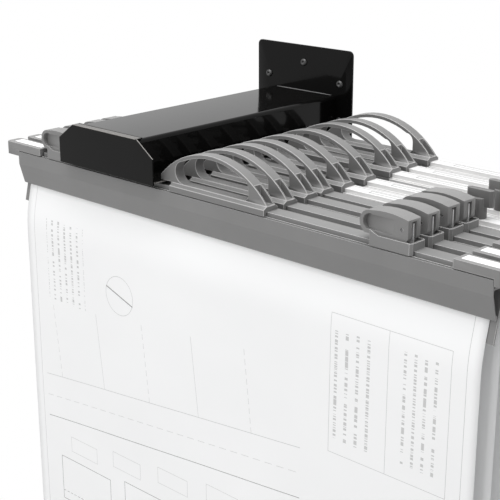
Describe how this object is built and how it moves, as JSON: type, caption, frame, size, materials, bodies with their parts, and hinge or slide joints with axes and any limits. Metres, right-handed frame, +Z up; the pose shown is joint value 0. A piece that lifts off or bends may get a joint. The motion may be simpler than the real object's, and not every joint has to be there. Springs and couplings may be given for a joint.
{
  "type": "plan hanging rack",
  "caption": "Wall-mounted rack whose flanged channel carries sliding plan clamps with arched hook handles, hinged jaws, cam levers or wing knobs and hanging drawing sheets.",
  "frame": {"origin": "on the wall plane, in the middle of the four outer wall screws", "axes": "+X along the clamps towards their long end, +Y into the wall, +Z up"},
  "size_m": [0.92, 0.455, 0.7635],
  "materials": {
    "black_steel": "semi-gloss black paint",
    "screw_steel": "blackened",
    "rail_aluminium": "satin anodised",
    "handle_plastic": "satin moulded",
    "lever_plastic": "satin moulded",
    "knob_plastic": "satin moulded",
    "paper": "matt paper"
  },
  "bodies": {
    "rack": {"wall_plate": "black_steel", "wall_screws": "screw_steel", "channel": "black_steel", "front_plate": "black_steel"},
    "clamp_1": {"clamp_1_rail": "rail_aluminium", "clamp_1_handle": "handle_plastic", "clamp_1_sheets": "paper"},
    "clamp_1_jaw": {"clamp_1_jaw": "rail_aluminium"},
    "clamp_1_left_lever": {"clamp_1_left_lever": "lever_plastic"},
    "clamp_1_right_lever": {"clamp_1_right_lever": "lever_plastic"},
    "clamp_2": {"clamp_2_rail": "rail_aluminium", "clamp_2_handle": "handle_plastic", "clamp_2_sheets": "paper"},
    "clamp_2_jaw": {"clamp_2_jaw": "rail_aluminium"},
    "clamp_2_left_lever": {"clamp_2_left_lever": "lever_plastic"},
    "clamp_2_right_lever": {"clamp_2_right_lever": "lever_plastic"},
    "clamp_3": {"clamp_3_rail": "rail_aluminium", "clamp_3_handle": "handle_plastic", "clamp_3_sheets": "paper"},
    "clamp_3_jaw": {"clamp_3_jaw": "rail_aluminium"},
    "clamp_3_left_lever": {"clamp_3_left_lever": "lever_plastic"},
    "clamp_3_right_lever": {"clamp_3_right_lever": "lever_plastic"},
    "clamp_4": {"clamp_4_rail": "rail_aluminium", "clamp_4_handle": "handle_plastic", "clamp_4_sheets": "paper"},
    "clamp_4_jaw": {"clamp_4_jaw": "rail_aluminium"},
    "clamp_4_left_lever": {"clamp_4_left_lever": "lever_plastic"},
    "clamp_4_right_lever": {"clamp_4_right_lever": "lever_plastic"},
    "clamp_5": {"clamp_5_rail": "rail_aluminium", "clamp_5_handle": "handle_plastic", "clamp_5_sheets": "paper"},
    "clamp_5_jaw": {"clamp_5_jaw": "rail_aluminium"},
    "clamp_5_left_knob": {"clamp_5_left_knob": "knob_plastic"},
    "clamp_5_right_knob": {"clamp_5_right_knob": "knob_plastic"},
    "clamp_6": {"clamp_6_rail": "rail_aluminium", "clamp_6_handle": "handle_plastic", "clamp_6_sheets": "paper"},
    "clamp_6_jaw": {"clamp_6_jaw": "rail_aluminium"},
    "clamp_6_left_knob": {"clamp_6_left_knob": "knob_plastic"},
    "clamp_6_right_knob": {"clamp_6_right_knob": "knob_plastic"},
    "clamp_7": {"clamp_7_rail": "rail_aluminium", "clamp_7_handle": "handle_plastic", "clamp_7_sheets": "paper"},
    "clamp_7_jaw": {"clamp_7_jaw": "rail_aluminium"},
    "clamp_7_left_knob": {"clamp_7_left_knob": "knob_plastic"},
    "clamp_7_right_knob": {"clamp_7_right_knob": "knob_plastic"},
    "clamp_8": {"clamp_8_rail": "rail_aluminium", "clamp_8_handle": "handle_plastic", "clamp_8_sheets": "paper"},
    "clamp_8_jaw": {"clamp_8_jaw": "rail_aluminium"},
    "clamp_8_left_knob": {"clamp_8_left_knob": "knob_plastic"},
    "clamp_8_right_knob": {"clamp_8_right_knob": "knob_plastic"},
    "clamp_9": {"clamp_9_rail": "rail_aluminium", "clamp_9_handle": "handle_plastic", "clamp_9_sheets": "paper"},
    "clamp_9_jaw": {"clamp_9_jaw": "rail_aluminium"},
    "clamp_9_left_knob": {"clamp_9_left_knob": "knob_plastic"},
    "clamp_9_right_knob": {"clamp_9_right_knob": "knob_plastic"}
  },
  "joints": [
    {"name": "clamp_1_slide", "type": "slide", "parent": "rack", "child": "clamp_1", "axis": [0, -1, 0], "range_m": [0, 0.0095]},
    {"name": "clamp_1_jaw_hinge", "type": "hinge", "parent": "clamp_1", "child": "clamp_1_jaw", "pos_m": [0.2085, -0.412, -0.0618], "axis": [-1, 0, 0], "range_deg": [0, 10]},
    {"name": "clamp_1_left_lever_hinge", "type": "hinge", "parent": "clamp_1", "child": "clamp_1_left_lever", "pos_m": [-0.1045, -0.402, -0.0268], "axis": [0, 1, 0], "range_deg": [0, 90]},
    {"name": "clamp_1_right_lever_hinge", "type": "hinge", "parent": "clamp_1", "child": "clamp_1_right_lever", "pos_m": [0.5105, -0.402, -0.0268], "axis": [0, 1, 0], "range_deg": [0, 90]},
    {"name": "clamp_2_slide", "type": "slide", "parent": "rack", "child": "clamp_2", "axis": [0, -1, 0], "range_m": [0, 0.007]},
    {"name": "clamp_2_jaw_hinge", "type": "hinge", "parent": "clamp_2", "child": "clamp_2_jaw", "pos_m": [0.2085, -0.374, -0.0618], "axis": [-1, 0, 0], "range_deg": [0, 10]},
    {"name": "clamp_2_left_lever_hinge", "type": "hinge", "parent": "clamp_2", "child": "clamp_2_left_lever", "pos_m": [-0.1045, -0.364, -0.0268], "axis": [0, 1, 0], "range_deg": [0, 90]},
    {"name": "clamp_2_right_lever_hinge", "type": "hinge", "parent": "clamp_2", "child": "clamp_2_right_lever", "pos_m": [0.5105, -0.364, -0.0268], "axis": [0, 1, 0], "range_deg": [0, 90]},
    {"name": "clamp_3_slide", "type": "slide", "parent": "rack", "child": "clamp_3", "axis": [0, -1, 0], "range_m": [0, 0.01]},
    {"name": "clamp_3_jaw_hinge", "type": "hinge", "parent": "clamp_3", "child": "clamp_3_jaw", "pos_m": [0.2085, -0.333, -0.0618], "axis": [-1, 0, 0], "range_deg": [0, 10]},
    {"name": "clamp_3_left_lever_hinge", "type": "hinge", "parent": "clamp_3", "child": "clamp_3_left_lever", "pos_m": [-0.1045, -0.323, -0.0268], "axis": [0, 1, 0], "range_deg": [0, 90]},
    {"name": "clamp_3_right_lever_hinge", "type": "hinge", "parent": "clamp_3", "child": "clamp_3_right_lever", "pos_m": [0.5105, -0.323, -0.0268], "axis": [0, 1, 0], "range_deg": [0, 90]},
    {"name": "clamp_4_slide", "type": "slide", "parent": "rack", "child": "clamp_4", "axis": [0, -1, 0], "range_m": [0, 0.002]},
    {"name": "clamp_4_jaw_hinge", "type": "hinge", "parent": "clamp_4", "child": "clamp_4_jaw", "pos_m": [0.2085, -0.3, -0.0618], "axis": [-1, 0, 0], "range_deg": [0, 10]},
    {"name": "clamp_4_left_lever_hinge", "type": "hinge", "parent": "clamp_4", "child": "clamp_4_left_lever", "pos_m": [-0.1045, -0.29, -0.0268], "axis": [0, 1, 0], "range_deg": [0, 90]},
    {"name": "clamp_4_right_lever_hinge", "type": "hinge", "parent": "clamp_4", "child": "clamp_4_right_lever", "pos_m": [0.5105, -0.29, -0.0268], "axis": [0, 1, 0], "range_deg": [0, 90]},
    {"name": "clamp_5_slide", "type": "slide", "parent": "rack", "child": "clamp_5", "axis": [0, -1, 0], "range_m": [0, 0.0125]},
    {"name": "clamp_5_jaw_hinge", "type": "hinge", "parent": "clamp_5", "child": "clamp_5_jaw", "pos_m": [0.2085, -0.2565, -0.0618], "axis": [-1, 0, 0], "range_deg": [0, 10]},
    {"name": "clamp_5_left_knob_turn", "type": "hinge", "parent": "clamp_5", "child": "clamp_5_left_knob", "pos_m": [-0.1045, -0.2465, -0.0258], "axis": [0, 0, 1], "range_deg": [0, 720]},
    {"name": "clamp_5_right_knob_turn", "type": "hinge", "parent": "clamp_5", "child": "clamp_5_right_knob", "pos_m": [0.5065, -0.2465, -0.0258], "axis": [0, 0, 1], "range_deg": [0, 720]},
    {"name": "clamp_6_slide", "type": "slide", "parent": "rack", "child": "clamp_6", "axis": [0, -1, 0], "range_m": [0, 0.0175]},
    {"name": "clamp_6_jaw_hinge", "type": "hinge", "parent": "clamp_6", "child": "clamp_6_jaw", "pos_m": [0.2085, -0.208, -0.0618], "axis": [-1, 0, 0], "range_deg": [0, 10]},
    {"name": "clamp_6_left_knob_turn", "type": "hinge", "parent": "clamp_6", "child": "clamp_6_left_knob", "pos_m": [-0.1045, -0.198, -0.0258], "axis": [0, 0, 1], "range_deg": [0, 720]},
    {"name": "clamp_6_right_knob_turn", "type": "hinge", "parent": "clamp_6", "child": "clamp_6_right_knob", "pos_m": [0.5065, -0.198, -0.0258], "axis": [0, 0, 1], "range_deg": [0, 720]},
    {"name": "clamp_7_slide", "type": "slide", "parent": "rack", "child": "clamp_7", "axis": [0, -1, 0], "range_m": [0, 0.0265]},
    {"name": "clamp_7_jaw_hinge", "type": "hinge", "parent": "clamp_7", "child": "clamp_7_jaw", "pos_m": [0.2085, -0.1505, -0.0618], "axis": [-1, 0, 0], "range_deg": [0, 10]},
    {"name": "clamp_7_left_knob_turn", "type": "hinge", "parent": "clamp_7", "child": "clamp_7_left_knob", "pos_m": [-0.1045, -0.1405, -0.0258], "axis": [0, 0, 1], "range_deg": [0, 720]},
    {"name": "clamp_7_right_knob_turn", "type": "hinge", "parent": "clamp_7", "child": "clamp_7_right_knob", "pos_m": [0.5065, -0.1405, -0.0258], "axis": [0, 0, 1], "range_deg": [0, 720]},
    {"name": "clamp_8_slide", "type": "slide", "parent": "rack", "child": "clamp_8", "axis": [0, -1, 0], "range_m": [0, 0.0085]},
    {"name": "clamp_8_jaw_hinge", "type": "hinge", "parent": "clamp_8", "child": "clamp_8_jaw", "pos_m": [0.2085, -0.111, -0.0618], "axis": [-1, 0, 0], "range_deg": [0, 10]},
    {"name": "clamp_8_left_knob_turn", "type": "hinge", "parent": "clamp_8", "child": "clamp_8_left_knob", "pos_m": [-0.1045, -0.101, -0.0258], "axis": [0, 0, 1], "range_deg": [0, 720]},
    {"name": "clamp_8_right_knob_turn", "type": "hinge", "parent": "clamp_8", "child": "clamp_8_right_knob", "pos_m": [0.5065, -0.101, -0.0258], "axis": [0, 0, 1], "range_deg": [0, 720]},
    {"name": "clamp_9_slide", "type": "slide", "parent": "rack", "child": "clamp_9", "axis": [0, -1, 0], "range_m": [0, 0.021]},
    {"name": "clamp_9_jaw_hinge", "type": "hinge", "parent": "clamp_9", "child": "clamp_9_jaw", "pos_m": [0.2085, -0.059, -0.0618], "axis": [-1, 0, 0], "range_deg": [0, 10]},
    {"name": "clamp_9_left_knob_turn", "type": "hinge", "parent": "clamp_9", "child": "clamp_9_left_knob", "pos_m": [-0.1045, -0.049, -0.0258], "axis": [0, 0, 1], "range_deg": [0, 720]},
    {"name": "clamp_9_right_knob_turn", "type": "hinge", "parent": "clamp_9", "child": "clamp_9_right_knob", "pos_m": [0.5065, -0.049, -0.0258], "axis": [0, 0, 1], "range_deg": [0, 720]}
  ],
  "couplings": [
    {"joint": "clamp_1_jaw_hinge", "follows": "clamp_1_left_lever_hinge", "ratio": 0.11111},
    {"joint": "clamp_2_jaw_hinge", "follows": "clamp_2_left_lever_hinge", "ratio": 0.11111},
    {"joint": "clamp_3_jaw_hinge", "follows": "clamp_3_left_lever_hinge", "ratio": 0.11111},
    {"joint": "clamp_4_jaw_hinge", "follows": "clamp_4_left_lever_hinge", "ratio": 0.11111},
    {"joint": "clamp_5_jaw_hinge", "follows": "clamp_5_left_knob_turn", "ratio": 0.013889},
    {"joint": "clamp_6_jaw_hinge", "follows": "clamp_6_left_knob_turn", "ratio": 0.013889},
    {"joint": "clamp_7_jaw_hinge", "follows": "clamp_7_left_knob_turn", "ratio": 0.013889},
    {"joint": "clamp_8_jaw_hinge", "follows": "clamp_8_left_knob_turn", "ratio": 0.013889},
    {"joint": "clamp_9_jaw_hinge", "follows": "clamp_9_left_knob_turn", "ratio": 0.013889}
  ]
}
